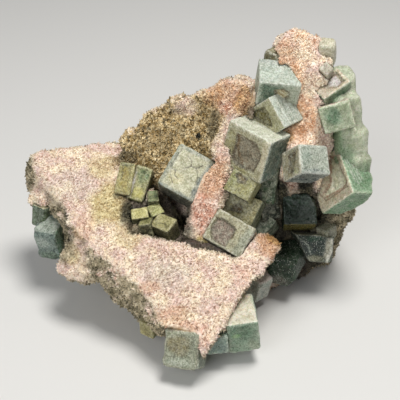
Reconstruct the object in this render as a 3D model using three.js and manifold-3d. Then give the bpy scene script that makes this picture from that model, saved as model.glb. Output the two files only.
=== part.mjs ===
// A fluorite specimen: frosted green cubes grown on a broken plate of pink, sugary rock.
// Millimetres, +Z up, seen from the front along +Y. The finished group is moved at the end so that
// the origin is the middle of its footprint, on the surface that it rests on.
import * as THREE from "three";
import { ConvexGeometry } from "three/addons/geometries/ConvexGeometry.js";
import { ImprovedNoise } from "three/addons/math/ImprovedNoise.js";
import { TessellateModifier } from "three/addons/modifiers/TessellateModifier.js";
import { mergeVertices } from "three/addons/utils/BufferGeometryUtils.js";
import Module from "manifold-3d";

// Driving dimensions: the gap left round every crystal, the bevel usual on its edges, the depth of the
// etched pockets in its faces, the longest edge of a rock facet, and the height and wavelength of the
// rock's relief, broad and fine.
const socketGap = 0.3;
const wornEdge = 0.6;
const pocketDepth = 0.8;
const rockFacet = 10;
const broadRelief = { height: 2, wavelength: 17 };
const fineRelief = { height: 1.5, wavelength: 6.5 };

// The rock, as overlapping lumps. Each lump is the hull of its own corner points.
const rockLumps = {
  left_lobe_back: [
    [-61, 18, 45], [-57, 14.5, 44], [-51, 8.5, 41.5], [-46, 0, 38.5], [-26, 0, 38.5], [-27, 16, 45],
    [-26, 27, 47], [-40, 27, 47.6], [-51, 26, 47.6], [-57, 24, 47], [-60, 21, 46], [-63.5, 20, 38],
    [-63, 18, 33], [-58, 12, 26], [-51.5, 5.5, 19], [-46, -2, 19], [-25, -2, 19], [-24, 28, 28],
    [-45, 29, 31],
    [-58, 26, 36],
  ],
  left_lobe_front: [
    [-51, 8.5, 41.5], [-45.5, -1, 38], [-42.5, -6, 36], [-41, -13, 33.5], [-33, -17.5, 31.5],
    [-24, -11, 34],
    [-26, -1, 38], [-28, 5, 40.5], [-30, 9, 41.5], [-49, 4, 24], [-45, -4, 22], [-42, -11, 22],
    [-34, -15, 20],
    [-24, -10, 18], [-22, 8, 20], [-38, 8, 22],
  ],
  left_shoulder: [
    [-60, 13, 36], [-56, 8, 36], [-54, 12, 38], [-62, 15, 33], [-60, 10, 30], [-55, 6, 31], [-56, 14, 28],
    [-61, 16, 30],
  ],
  left_knob: [
    [-48.5, -11, 21.5], [-47.5, -9, 26], [-44, -8, 30], [-38, -13, 31], [-35, -18, 28], [-37, -19, 21.5],
    [-40, -18, 18], [-44.5, -16, 17.5], [-48, -14, 19], [-40, -6, 19], [-34, -17, 18.5],
  ],
  front_lobe: [
    [-33, -17.5, 31.5], [-27, -12.5, 34], [-20, -12, 34], [-11, -14, 33.3], [-1, -15.5, 32.7], [2, -17, 32],
    [12, -21, 30], [16, -22, 29.5], [17.5, -26, 27], [12.5, -31.5, 24.3], [9.5, -37, 21.3], [7, -41, 19.2],
    [0, -43, 18.2], [-4, -42, 18.8], [-10, -41, 19.5], [-16, -34, 23], [-19.5, -30.5, 25], [-23, -26, 27],
    [-28, -21.5, 29.5], [-35, -18, 20], [-31, -22, 16], [-25.5, -25, 12], [-20.5, -27, 10],
    [-17, -30.5, 7.5],
    [-12, -33, 8.5], [-4, -37, 9.5], [2, -36, 9.5], [6, -31, 9], [11, -24, 10], [12, -16, 14], [0, -10, 14],
    [-35, -15, 20], [-24, -8, 16],
  ],
  front_tip: [
    [-1, -42, 18.6], [0.5, -45, 17], [1.3, -48, 15], [3.5, -47, 15.6], [6, -43.5, 18], [7, -39, 20.5],
    [0, -37, 21], [1.5, -46, 10.5], [4, -41, 10], [1, -40, 9],
  ],
  right_saddle: [
    [12, -19, 30.8], [16, -16, 32.5], [20, -17, 31.5], [21, -21, 29.5], [18, -26, 27], [27, -11, 30],
    [28, -9, 28], [12, -8, 34], [24, -4, 30], [17.5, -16, 19], [19, -7, 20], [12, -10, 12], [11, -19, 14],
  ],
  foot: [
    [-24, 4, -3], [-22, 26, -3], [8, 33, -3], [42, 29, -3], [47, 17, -3], [40, 8, -3], [24, 0, -3],
    [6, -12, -3], [-10, -16, -3], [-28, 6, 26], [-24, 28, 28], [10, 36, 42], [45, 31, 42], [46, 15, 36],
    [28, 6, 30], [12, -6, 24], [-10, -10, 24],
  ],
  hollow_floor: [
    [-25, 4, 39.5], [-24, -5, 35.5], [-20, -11, 32], [-12, -11, 29], [-7, -7, 28], [-7, 2, 33],
    [-13, 7, 38],
    [-20, 8, 40.5], [-24, -8, 22], [-6, -8, 22], [-6, 8, 24], [-24, 10, 24],
  ],
  ridge: [
    [-29.5, 15, 44], [-14, 13, 34], [0, 10, 34], [8, 8, 38], [-29, 17, 50], [-26, 18, 54.5], [-23, 18, 58],
    [-19, 19, 62], [-15, 19, 65], [-5, 19, 69], [3, 19, 72.5], [-26, 26, 46], [-18, 27, 57], [-5, 28, 65],
    [5, 29, 68], [-26, 30, 32], [10, 36, 30],
  ],
  ridge_crest: [
    [2, 18, 73], [11, 18, 77.5], [16.5, 16.5, 76], [8, 11, 60], [4, 8, 50], [18, 7, 60], [2, 27, 69],
    [14, 29, 73], [22, 29, 69], [0, 32, 45], [25, 34, 45],
  ],
  upper_rib: [
    [9.5, 10, 71], [16, 13, 76], [4.5, 5, 57], [11, 4, 60], [8, 15, 58], [16, 15, 62], [2.5, 1, 52],
    [9, 0, 52],
  ],
  lower_rib: [
    [2.5, 1, 53], [9, 0, 53], [-1, -6, 42], [6, -8, 42], [-4, -12, 31], [5, -14.5, 32], [-5, 2, 34],
    [12, 0, 34], [12, 5, 52],
  ],
  tower: [
    [10, -2, 34], [24, 3, 32], [38, 5, 28], [46, 10, 28], [48, 25, 30], [20, 34, 30], [12, 4, 58],
    [26, 4.5, 58], [39, 4, 58], [45, 9, 58], [44, 25, 60], [18, 27, 62], [23, 17, 84], [36, 13, 79],
    [42, 15, 84], [40, 24, 82], [25, 26, 80],
  ],
  edge_bracket: [
    [28.5, 6, 62], [40, 7, 62], [28, 4, 47], [38, 5, 47.5], [30.5, -1.5, 60], [37.5, -1.5, 60],
    [29.5, -1.5, 49], [36, -1, 48.5],
  ],
  tower_top: [
    [25, 17, 83], [28.5, 20, 91.5], [31.5, 22, 93.5], [34.5, 24, 93], [40, 22, 91], [43.5, 20, 87],
    [43.5, 16.5, 82.5], [39, 13.5, 78], [30, 14, 78], [27, 27, 87], [33, 30, 88], [41, 27, 85], [42, 24, 76],
    [24, 26, 76],
  ],
  back_web: [
    [0, 20, 36], [26, 20, 36], [-2, 31, 36], [26, 30, 36], [2, 20, 56], [22, 20, 56], [3, 30, 54],
    [22, 27, 54],
  ],
  right_buttress: [
    [57, 11, 34], [53.5, 12.5, 27], [51.5, 12.5, 20], [49.5, 18, -3], [47, 10, 5], [41, 5, 8], [39, 4, 20],
    [42, 4, 30], [50, 7, 37], [54, 20, 36], [50, 28, 10], [44, 31, -3],
  ],
};

// Each crystal: the group that it grew in, its middle, its edge lengths and its turn in degrees about
// X, Y and Z. A pocket is an etched hollow: the face that it lies in and its outline on that face. A
// cut is a corner that broke off: the direction that the piece went, in the crystal's own axes, and
// how far the break lies inside the corner. A worn crystal has broader bevels than the others.
const crystals = [
  { node: "flat_cube", at: [-5, 7.5, 45], size: [13, 14.5, 16.5], turn: [-44, 30, -1] },

  { node: "tower_cubes", at: [25.3, 22, 83], size: [6, 6, 6], turn: [3, 9, -38] },
  {
    node: "tower_cubes", at: [26.1, 14.7, 77], size: [14.1, 11.8, 10.6], turn: [18, 5, -2],
    cuts: [{ toward: [0.87, 0.43, 0.24], reach: 4.6 }],
  },
  {
    node: "tower_cubes", at: [25.5, 9.9, 67.8], size: [11.3, 10.4, 11.5], turn: [-33, -28, -50],
    pocket: { face: "-y", outline: [[-4.6, 4.6], [1.4, 3.8], [1.8, 1.4], [0.6, -3], [-2.2, -1], [-5, 2.6]] },
  },
  {
    node: "tower_cubes", at: [18.5, 4.4, 58.1], size: [17.7, 12, 16], turn: [-1, 12, -39],
    cuts: [{ toward: [-0.46, -0.3, -0.83], reach: 3.1 }],
    pocket: {
      face: "-y",
      outline: [
        [-4.6, 4.9], [-1.9, 5], [3.3, 4.9], [6.1, 2.2], [5.8, -1.6], [5, -5], [2.1, -5.5], [-2.3, -5.9],
        [-4.7, -4], [-4.4, 0.6],
      ],
    },
  },
  {
    node: "tower_cubes", at: [14.5, -1, 46], size: [9.5, 8.5, 8], turn: [-34, 29, -14],
    pocket: {
      face: "-y",
      outline: [[-3.4, 2.4], [-2.4, 3.2], [-0.6, 3.2], [1.2, 3.1], [0.8, 0.9], [-1.3, 0.4]],
    },
  },
  {
    node: "tower_cubes", at: [14.1, -0.2, 36.8], size: [14.4, 9.5, 10], turn: [-35, 26, -16],
    pocket: { face: "-y", outline: [[-1.9, -2], [-1.7, -0.2], [-0.2, 0.9], [1.4, 0.8], [2, -1.1], [1, -2]] },
  },
  { node: "tower_cubes", at: [23.6, 4.8, 44.5], size: [8, 9, 13], turn: [-10, 5, -20] },
  { node: "tower_cubes", at: [22.8, 4.2, 36.8], size: [7.5, 8, 12], turn: [-11, -7, 23] },
  { node: "tower_cubes", at: [22.5, 0.3, 28.3], size: [7.9, 6.5, 7.7], turn: [36, -12, 48] },
  {
    node: "tower_cubes", at: [10.4, -8.8, 31.4], size: [14.7, 13, 11.4], turn: [-38.5, 30.5, -7],
    pocket: {
      face: "-y",
      outline: [[-6.1, 2.4], [-4, 3.2], [1.2, 2.3], [1.5, -1.1], [1.3, -4.6], [-4.3, -4.8], [-6.3, -1.4]],
    },
  },

  {
    node: "edge_cube", at: [34.7, -4.7, 57.2], size: [11.2, 11.6, 10], turn: [-38, -4, 25],
    pocket: {
      face: "-x",
      outline: [[1.2, 2.7], [-3, 3.1], [-2.9, 0.9], [-1.4, -0.9], [-0.8, -3.2], [2, -2.5]],
    },
  },

  {
    node: "right_cubes", at: [49.5, 6.4, 43.5], size: [12.4, 17.6, 16.7], turn: [25, 33, 17],
    cuts: [{ toward: [0.8, -0.4, 0.45], reach: 2.6 }, { toward: [0.7, -0.6, -0.4], reach: 2.6 }],
    pocket: {
      face: "-x",
      outline: [
        [7.4, 3.4], [6.2, 6], [0.1, 6.3], [-4, 6.9], [-4.9, 5.8], [-4.6, -3.6], [-2.6, -5], [-0.4, -0.4],
      ],
    },
  },
  { node: "right_cubes", at: [53.2, 9.5, 46], size: [9.8, 11, 15], turn: [-5, 4, 15], worn: 3 },
  { node: "right_cubes", at: [51.4, 10.5, 55.5], size: [11, 9.5, 15], turn: [-10, 4, 10], worn: 2.8 },
  { node: "right_cubes", at: [49.8, 13, 65.5], size: [9.5, 9, 17], turn: [-5, -9, 12], worn: 2.6 },
  {
    node: "right_cubes", at: [47.4, 17, 73.5], size: [9.4, 9, 15.5], turn: [-5, 0, 12], worn: 2.6,
    cuts: [{ toward: [-0.39, -0.45, 0.8], reach: 3.8 }],
  },
  { node: "right_cubes", at: [45.8, 9.3, 68], size: [10.6, 10.4, 9.4], turn: [-21, -17, -6] },
  {
    node: "right_cubes", at: [44.4, 14.3, 75.7], size: [11, 7.7, 5.2], turn: [28, -17, 31],
    pocket: { face: "+z", outline: [[3.6, 2.3], [3.6, -2.1], [1, -2.6], [-1.8, -0.8], [-0.4, 2]] },
  },
  { node: "right_cubes", at: [42.2, 14.8, 81.6], size: [3.8, 4, 5], turn: [43, -12, 42] },
  { node: "crown_cube", at: [42.9, 21.6, 85.2], size: [5.8, 6, 9], turn: [10, -5, -12], worn: 1.8 },
  {
    node: "dark_cube", at: [34.7, 3.5, 32.6], size: [11.5, 12, 11], turn: [-45, -1, -2],
    cuts: [{ toward: [0.75, -0.45, 0.45], reach: 2.4 }],
  },

  { node: "low_cubes", at: [45.3, 4, 23.8], size: [5.5, 6, 5.5], turn: [2, -11, -45], worn: 1 },
  {
    node: "low_cubes", at: [38.5, 1.2, 19.5], size: [17, 8, 9.6], turn: [-25, 5, 5],
    cuts: [{ toward: [-0.85, -0.1, -0.52], reach: 7.4 }],
  },
  {
    node: "low_cubes", at: [31, -0.8, 14], size: [11, 14, 12], turn: [5, -5, -20],
    cuts: [{ toward: [0.8, -0.15, -0.58], reach: 3 }],
  },
  { node: "low_corner_cube", at: [20.5, -8.2, 9.4], size: [7, 7.2, 10.4], turn: [10, 9, 41] },

  { node: "front_right_cubes", at: [13.5, -33, 13], size: [10.5, 13.5, 13.5], turn: [6, -6, 6] },
  { node: "front_right_cubes", at: [5.5, -38.5, 11], size: [7, 7, 7], turn: [-4, -4, 4] },

  { node: "front_cube", at: [-5.7, -40.6, 9.5], size: [13.4, 11.4, 10.8], turn: [-35, 6, -4], worn: 1.2 },
  { node: "side_crystal", at: [-16.8, -28.8, 8.2], size: [5.6, 5, 6.4], turn: [6, -2, -31], worn: 1 },

  { node: "left_cubes", at: [-56.6, 8.2, 28.1], size: [6, 5.4, 8], turn: [-13, 7, -36] },
  { node: "left_cubes", at: [-52.6, 5.1, 21.3], size: [10.2, 13, 14.4], turn: [6, -5, -19], worn: 2.4 },

  { node: "hollow_pair", at: [-26, 7.5, 43], size: [5.5, 9, 11.5], turn: [-45, 10, 2] },
  { node: "hollow_pair", at: [-21, 8, 40.5], size: [6, 12.5, 9.5], turn: [43, 2, -17] },
  { node: "hollow_cubes", at: [-16.2, 2, 38.5], size: [4, 5, 5.5], turn: [19, 0, 6] },
  { node: "hollow_cubes", at: [-20.5, -3.5, 35.5], size: [6, 4.5, 5], turn: [26, -3, 8] },
  { node: "hollow_cubes", at: [-15.5, -1.5, 35.3], size: [5, 5, 5.5], turn: [20, 5, 30] },
  { node: "hollow_cubes", at: [-18, -7.5, 33.5], size: [4.5, 5.5, 5.5], turn: [-9, -13, -8] },
  { node: "hollow_cubes", at: [-12, -6.5, 32], size: [7.5, 6.5, 8.5], turn: [16, -6, -31] },

  { node: "back_cubes", at: [49, 24, 44], size: [9, 10, 9], turn: [12, 20, -25] },
  { node: "back_cubes", at: [46, 26, 51], size: [7, 8, 9], turn: [-15, 10, 30] },
];

const looks = {
  matrix: { color: "#cdb3a0", roughness: 0.92 },
  flat_cube: { color: "#9aa295", roughness: 0.5 },
  tower_cubes: { color: "#84917f", roughness: 0.5 },
  right_cubes: { color: "#7f957c", roughness: 0.45 },
  edge_cube: { color: "#8b9484", roughness: 0.45 },
  crown_cube: { color: "#a3a893", roughness: 0.5 },
  dark_cube: { color: "#1f2a24", roughness: 0.35 },
  low_cubes: { color: "#35443a", roughness: 0.5 },
  low_corner_cube: { color: "#7d857a", roughness: 0.5 },
  front_right_cubes: { color: "#6f8a70", roughness: 0.45 },
  front_cube: { color: "#86907d", roughness: 0.5 },
  side_crystal: { color: "#8e8a58", roughness: 0.5 },
  left_cubes: { color: "#5f6e66", roughness: 0.5 },
  hollow_pair: { color: "#96955c", roughness: 0.5 },
  hollow_cubes: { color: "#6a6f49", roughness: 0.5 },
  back_cubes: { color: "#728a72", roughness: 0.45 },
};

const wasm = await Module();
wasm.setup();
const { Manifold, Mesh } = wasm;

function solidOf(geometry) {
  const plain = new THREE.BufferGeometry();
  plain.setAttribute("position", geometry.getAttribute("position"));
  if (geometry.index) plain.setIndex(geometry.index);
  const merged = mergeVertices(plain, 1e-4);
  const vertProperties = new Float32Array(merged.getAttribute("position").array);
  const triVerts = new Uint32Array(merged.index.array);
  return new Manifold(new Mesh({ numProp: 3, vertProperties, triVerts }));
}

function geometryOf(solid) {
  const mesh = solid.getMesh();
  const geometry = new THREE.BufferGeometry();
  geometry.setAttribute("position", new THREE.BufferAttribute(new Float32Array(mesh.vertProperties), 3));
  geometry.setIndex(new THREE.BufferAttribute(new Uint32Array(mesh.triVerts), 1));
  geometry.computeVertexNormals();
  return geometry;
}

function union(solids) {
  return solids.reduce((all, solid) => all.add(solid));
}

// Broken rock strays from its plain form, broadly and in small steps.
const noise = new ImprovedNoise();

function relief(point, { height, wavelength }) {
  const [x, y, z] = point.toArray().map((value) => value / wavelength);
  return new THREE.Vector3(
    noise.noise(x, y, z),
    noise.noise(x + 31.4, y + 7.7, z + 2.3),
    noise.noise(x + 5.9, y + 41.1, z + 17.6),
  ).multiplyScalar(height);
}

function rockLump(corners) {
  const hull = new ConvexGeometry(corners.map((corner) => new THREE.Vector3(...corner)));
  hull.deleteAttribute("normal");
  const mostRounds = 12;
  const fine = new TessellateModifier(rockFacet, mostRounds).modify(hull);
  const place = fine.getAttribute("position");
  const point = new THREE.Vector3();
  for (let i = 0; i < place.count; i += 1) {
    point.fromBufferAttribute(place, i);
    point.add(relief(point, broadRelief).add(relief(point, fineRelief)));
    place.setXYZ(i, point.x, point.y, point.z);
  }
  return solidOf(fine);
}

function placement({ at, turn }) {
  const angles = turn.map(THREE.MathUtils.degToRad);
  const rotation = new THREE.Quaternion().setFromEuler(new THREE.Euler(...angles));
  return new THREE.Matrix4().compose(new THREE.Vector3(...at), rotation, new THREE.Vector3(1, 1, 1));
}

// A cube whose edges and corners are worn to flats: the hull of each corner's three points.
function bevelledBox({ size, worn = wornEdge }) {
  const [x, y, z] = size.map((edge) => edge / 2);
  const corners = [];
  for (const [i, j, k] of [[0, 1, 1], [1, 0, 1], [1, 1, 0]]) {
    for (const signs of [[1, 1], [1, -1], [-1, 1], [-1, -1]]) {
      for (const upper of [1, -1]) {
        corners.push(new THREE.Vector3(
          signs[0] * (x - i * worn),
          signs[1] * (y - j * worn),
          upper * (z - k * worn),
        ));
      }
    }
  }
  return new ConvexGeometry(corners);
}

// The frame of a face: across, up and outward, with its middle in the middle of the face.
function faceFrame({ size }, face) {
  const axis = "xyz".indexOf(face[1]);
  const outward = new THREE.Vector3().setComponent(axis, face[0] === "+" ? 1 : -1);
  const [first, second] = [0, 1, 2].filter((other) => other !== axis);
  const across = new THREE.Vector3().setComponent(first, 1);
  const up = new THREE.Vector3().setComponent(second, 1);
  return new THREE.Matrix4()
    .makeBasis(across, up, new THREE.Vector3().crossVectors(across, up))
    .setPosition(outward.multiplyScalar(size[axis] / 2));
}

function pocketSolid(crystal) {
  const outline = new THREE.Shape(crystal.pocket.outline.map(([u, v]) => new THREE.Vector2(u, v)));
  const cutter = new THREE.ExtrudeGeometry(outline, { depth: 2 * pocketDepth, bevelEnabled: false });
  cutter.translate(0, 0, -pocketDepth);
  return solidOf(cutter.applyMatrix4(faceFrame(crystal, crystal.pocket.face)));
}

// A cut leaves a flat square to the direction in which the broken piece went.
function breakOff(solid, size, { toward, reach }) {
  const outward = new THREE.Vector3(...toward).normalize();
  const corner = new THREE.Vector3(...size).multiplyScalar(0.5);
  const limit = new THREE.Vector3(...outward.toArray().map(Math.abs)).dot(corner) - reach;
  return solid.trimByPlane(outward.negate().toArray(), -limit);
}

function crystalSolid(crystal) {
  let solid = solidOf(bevelledBox(crystal));
  if (crystal.pocket) solid = solid.subtract(pocketSolid(crystal));
  for (const cut of crystal.cuts ?? []) solid = breakOff(solid, crystal.size, cut);
  return solid.transform(placement(crystal).elements);
}

// A socket keeps the form of its crystal, cuts and broad bevels too, and is larger by the gap.
function socketSolid(crystal) {
  const size = crystal.size.map((edge) => edge + 2 * socketGap);
  const form = crystal.worn ? bevelledBox({ ...crystal, size }) : new THREE.BoxGeometry(...size);
  let solid = solidOf(form);
  for (const cut of crystal.cuts ?? []) solid = breakOff(solid, size, cut);
  return solid.transform(placement(crystal).elements);
}

function largestBody(solid) {
  return solid.decompose().reduce((best, body) => (body.volume() > best.volume() ? body : best));
}

const rock = union(Object.values(rockLumps).map(rockLump));
const standing = rock.trimByPlane([0, 0, 1], 0);
const sockets = union(crystals.map(socketSolid));
const solids = { matrix: largestBody(standing.subtract(sockets)) };
for (const name of new Set(crystals.map((crystal) => crystal.node))) {
  solids[name] = union(crystals.filter((crystal) => crystal.node === name).map(crystalSolid));
}

const specimen = new THREE.Group();
for (const [name, solid] of Object.entries(solids)) {
  const material = new THREE.MeshStandardMaterial({ ...looks[name], metalness: 0, flatShading: true });
  const mesh = new THREE.Mesh(geometryOf(solid), material);
  mesh.name = name;
  specimen.add(mesh);
}
const box = new THREE.Box3().setFromObject(specimen);
const middle = box.getCenter(new THREE.Vector3());
specimen.position.set(-middle.x, -middle.y, -box.min.z);
specimen.updateMatrixWorld(true);

export default specimen;
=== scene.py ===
import bmesh
import bpy
import numpy as np
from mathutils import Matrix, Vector


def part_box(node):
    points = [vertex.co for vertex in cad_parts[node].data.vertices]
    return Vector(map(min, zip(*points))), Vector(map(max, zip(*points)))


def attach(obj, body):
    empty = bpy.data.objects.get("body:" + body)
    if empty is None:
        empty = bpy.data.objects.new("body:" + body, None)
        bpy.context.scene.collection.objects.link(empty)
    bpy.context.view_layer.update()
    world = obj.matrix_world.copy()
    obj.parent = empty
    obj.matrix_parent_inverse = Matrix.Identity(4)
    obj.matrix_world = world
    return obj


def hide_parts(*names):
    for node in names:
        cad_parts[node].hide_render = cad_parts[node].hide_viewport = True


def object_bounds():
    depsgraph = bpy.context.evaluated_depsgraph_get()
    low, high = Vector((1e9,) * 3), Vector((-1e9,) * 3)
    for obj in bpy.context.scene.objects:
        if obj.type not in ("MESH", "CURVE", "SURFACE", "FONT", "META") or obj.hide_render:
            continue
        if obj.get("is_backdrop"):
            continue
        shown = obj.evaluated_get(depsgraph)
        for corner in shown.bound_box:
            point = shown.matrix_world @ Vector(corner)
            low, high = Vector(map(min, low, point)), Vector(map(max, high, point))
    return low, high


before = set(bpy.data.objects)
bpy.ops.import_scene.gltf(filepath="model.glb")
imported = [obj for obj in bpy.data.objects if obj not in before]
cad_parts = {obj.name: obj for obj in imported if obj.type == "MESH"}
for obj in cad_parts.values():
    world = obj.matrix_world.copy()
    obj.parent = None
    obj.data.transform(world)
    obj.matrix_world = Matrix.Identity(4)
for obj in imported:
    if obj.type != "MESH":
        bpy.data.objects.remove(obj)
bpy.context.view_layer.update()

# The rock is a broken plate of quartz, coated all over with a sugary crust of tiny crystals. It is one
# natural piece: two lobes, a knob, a ridge with a rib, and a tower, all on a flat foot. Its crust is
# pink on top, olive on the ridge, and grey-green where the plate's edge was broken.
MM = 0.001

# Places are in the CAD model's own millimetres. Its flat cube, seen in the frame, gives the shift to it.
flat_cube_middle = np.array([-5.0, 7.5, 45.0])
low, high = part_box("flat_cube")
shift = np.array((low + high) / 2) / MM - flat_cube_middle
rock_cell = 0.78
rock_rounds = 10
crust_gap = 0.35


def shade(colour):
    """A colour as light reads it, from its red, green and blue as the eye reads them, 0 to 255."""
    parts = np.array(colour) / 255
    linear = np.where(parts > 0.04045, ((parts + 0.055) / 1.055) ** 2.4, parts / 12.92)
    return np.append(linear, 1.0)


def ease(low_end, high_end, values):
    """0 below the low end, 1 above the high end, and a smooth rise between them."""
    part = np.clip((values - low_end) / (high_end - low_end), 0, 1)
    return part * part * (3 - 2 * part)


def ripple(points, wavelength, seed):
    """Smooth noise from -1 to 1 at each point, with bumps about as wide as the wavelength."""
    grid = points / wavelength + 13.7 * seed
    cell = np.floor(grid).astype(np.int64)
    part = grid - cell
    part = part * part * (3 - 2 * part)
    total = np.zeros(len(points))
    for corner in np.ndindex(2, 2, 2):
        at = cell + np.array(corner)
        code = (at[:, 0] * 73856093) ^ (at[:, 1] * 19349663) ^ (at[:, 2] * 83492791) ^ (seed * 7919)
        code = ((code ^ (code >> 13)) * 1274126177) & 0x7FFFFFFF
        value = ((code >> 8) & 0xFFFF) / 32767.5 - 1
        weight = np.prod(np.where(np.array(corner) == 1, part, 1 - part), axis=1)
        total += value * weight
    return total


def mesh_of(name, points, faces, smooth):
    """A mesh from points in millimetres and faces that all have the same number of corners."""
    mesh = bpy.data.meshes.new(name)
    mesh.vertices.add(len(points))
    mesh.vertices.foreach_set("co", ((points + shift) * MM).astype(np.float32).ravel())
    mesh.loops.add(faces.size)
    mesh.loops.foreach_set("vertex_index", faces.astype(np.int32).ravel())
    mesh.polygons.add(len(faces))
    mesh.polygons.foreach_set("loop_start", np.arange(0, faces.size, faces.shape[1], dtype=np.int32))
    mesh.polygons.foreach_set("use_smooth", np.full(len(faces), smooth))
    mesh.update(calc_edges=True)
    mesh.validate()
    return mesh


def in_scene(name, data):
    """A new object that holds a mesh, a lamp or a camera, linked into the scene."""
    made = bpy.data.objects.new(name, data)
    bpy.context.scene.collection.objects.link(made)
    return made


def piece_of(name, points, faces, smooth):
    return in_scene(name, mesh_of(name, points, faces, smooth))


def mark(piece, name, values):
    """Stores a number, or a colour, for each point of a piece, for its material to read."""
    kind = "FLOAT" if values.ndim == 1 else "FLOAT_COLOR"
    layer = piece.data.attributes.new(name, kind, "POINT")
    layer.data.foreach_set("value" if values.ndim == 1 else "color", values.astype(np.float32).ravel())


def one_skin(points, faces):
    """Only the largest closed skin of a mesh, without the crumbs that thin lips leave beside it."""
    group = np.arange(len(points))
    while True:
        least = group.copy()
        np.minimum.at(least, faces.ravel(), np.repeat(group[faces].min(axis=1), faces.shape[1]))
        least = least[least]
        if (least == group).all():
            break
        group = least
    kept = group == np.bincount(group).argmax()
    compact = np.cumsum(kept) - 1
    return points[kept], compact[faces[kept[faces[:, 0]]]]


def evened(mesh, cell):
    """A solid skinned again with square cells of one size: its points and its faces."""
    mesh = mesh.copy()
    weld = bmesh.new()
    weld.from_mesh(mesh)
    bmesh.ops.remove_doubles(weld, verts=weld.verts, dist=1e-6)
    weld.to_mesh(mesh)
    weld.free()
    work = in_scene("evening", mesh)
    remesh = work.modifiers.new("even", "REMESH")
    remesh.mode = "VOXEL"
    remesh.voxel_size = cell * MM
    bpy.context.view_layer.update()
    made = bpy.data.meshes.new_from_object(work.evaluated_get(bpy.context.evaluated_depsgraph_get()))
    bpy.data.objects.remove(work)
    points = np.zeros(len(made.vertices) * 3)
    made.vertices.foreach_get("co", points)
    faces = np.zeros(len(made.loops), np.int64)
    made.loops.foreach_get("vertex_index", faces)
    return one_skin(points.reshape(-1, 3) / MM - shift, faces.reshape(-1, 4))


def point_normals(points, faces):
    across = points[faces[:, 2]] - points[faces[:, 0]]
    along = points[faces[:, 3]] - points[faces[:, 1]]
    flat = np.cross(across, along)
    normals = np.zeros_like(points)
    for corner in range(faces.shape[1]):
        np.add.at(normals, faces[:, corner], flat)
    return normals / np.maximum(np.linalg.norm(normals, axis=1, keepdims=True), 1e-9)


def smoothed(points, faces, rounds, share):
    """Each point moved towards the middle of its neighbours, by its own share, in several rounds."""
    sides = np.concatenate([faces[:, [k, (k + 1) % 4]] for k in range(4)])
    count = np.zeros(len(points))
    np.add.at(count, sides.ravel(), 1)
    for _ in range(rounds):
        total = np.zeros_like(points)
        np.add.at(total, sides[:, 0], points[sides[:, 1]])
        np.add.at(total, sides[:, 1], points[sides[:, 0]])
        points = points + (total / count[:, None] - points) * share[:, None]
    return points


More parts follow.
